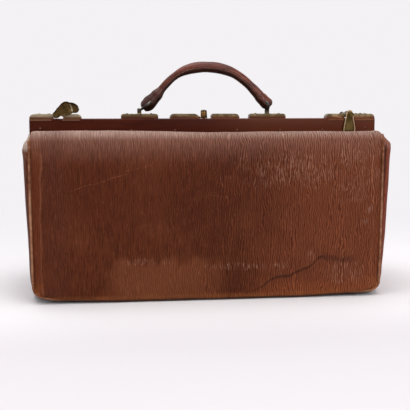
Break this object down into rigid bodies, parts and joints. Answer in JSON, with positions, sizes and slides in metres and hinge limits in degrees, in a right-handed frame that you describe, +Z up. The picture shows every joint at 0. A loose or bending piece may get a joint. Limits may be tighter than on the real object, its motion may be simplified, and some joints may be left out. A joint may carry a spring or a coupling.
{
  "type": "gladstone bag",
  "caption": "Worn brown leather gladstone bag with a hinged steel frame, brass swing catches, sliding lock knob and rolled handle",
  "frame": {"origin": "on the ground under the middle of the bag", "axes": "+X to the viewer's right along the frame, -Y out of the front panel, +Z up"},
  "size_m": [0.52, 0.231, 0.334],
  "materials": {
    "panel_leather": "long-grain, worn",
    "welt_leather": "rubbed pale along the edge",
    "frame_leather": "smooth, polished",
    "handle_leather": "smooth, rolled and stitched",
    "aged_brass": "dull, tarnished",
    "frame_steel": "dark",
    "lining_cloth": "plain weave",
    "board": "pressed board"
  },
  "bodies": {
    "bag_body": {"base_panel": "panel_leather", "base_board": "board", "front_panel": "panel_leather", "rear_panel": "panel_leather", "left_gusset": "panel_leather", "right_gusset": "panel_leather", "front_welt": "welt_leather", "rear_welt": "welt_leather", "lining": "lining_cloth", "left_hinge_rivet": "frame_steel", "right_hinge_rivet": "frame_steel", "front_shoulder": "panel_leather", "rear_shoulder": "panel_leather", "left_front_fold": "panel_leather", "left_rear_fold": "panel_leather", "right_front_fold": "panel_leather", "right_rear_fold": "panel_leather"},
    "front_frame": {"front_rail": "frame_steel", "front_left_leg": "frame_steel", "front_right_leg": "frame_steel", "front_rail_cover": "frame_leather", "front_corner_plates": "aged_brass", "front_nose_plates": "aged_brass", "front_plate_rivets": "aged_brass", "front_tacks": "aged_brass", "lock_striker": "frame_steel"},
    "rear_frame": {"rear_rail": "frame_steel", "rear_left_leg": "frame_steel", "rear_right_leg": "frame_steel", "rear_rail_cover": "frame_leather", "rear_corner_plates": "aged_brass", "handle_plates": "aged_brass", "lock_plates": "aged_brass", "rear_plate_rivets": "aged_brass", "rear_tacks": "aged_brass", "lock_case": "frame_steel"},
    "handle": {"handle_core": "lining_cloth", "handle_grip": "handle_leather", "handle_ends": "handle_leather", "left_handle_loop": "frame_steel", "right_handle_loop": "frame_steel"},
    "left_catch": {"left_catch_leaf": "aged_brass", "left_catch_spindle": "aged_brass"},
    "right_catch": {"right_catch_leaf": "aged_brass", "right_catch_spindle": "aged_brass"},
    "lock_slide": {"lock_knob": "aged_brass", "lock_bolt": "frame_steel"}
  },
  "joints": [
    {"name": "front_frame_open", "type": "hinge", "parent": "bag_body", "child": "front_frame", "pos_m": [0, 0, 0.17], "axis": [1, 0, 0], "range_deg": [0, 50], "deforming": ["front_shoulder", "left_front_fold", "right_front_fold"]},
    {"name": "rear_frame_open", "type": "hinge", "parent": "bag_body", "child": "rear_frame", "pos_m": [0, 0, 0.17], "axis": [-1, 0, 0], "range_deg": [0, 50], "deforming": ["rear_shoulder", "left_rear_fold", "right_rear_fold"]},
    {"name": "handle_swing", "type": "hinge", "parent": "rear_frame", "child": "handle", "pos_m": [0, 0.0111, 0.2615], "axis": [1, 0, 0], "range_deg": [-60, 60]},
    {"name": "left_catch_turn", "type": "hinge", "parent": "front_frame", "child": "left_catch", "pos_m": [-0.2175, 0, 0.256], "axis": [0, -1, 0], "range_deg": [-133, 0]},
    {"name": "right_catch_turn", "type": "hinge", "parent": "front_frame", "child": "right_catch", "pos_m": [0.2175, 0, 0.256], "axis": [0, 1, 0], "range_deg": [-18, 115]},
    {"name": "lock_slide_move", "type": "slide", "parent": "rear_frame", "child": "lock_slide", "axis": [1, 0, 0], "range_m": [0, 0.004]}
  ]
}
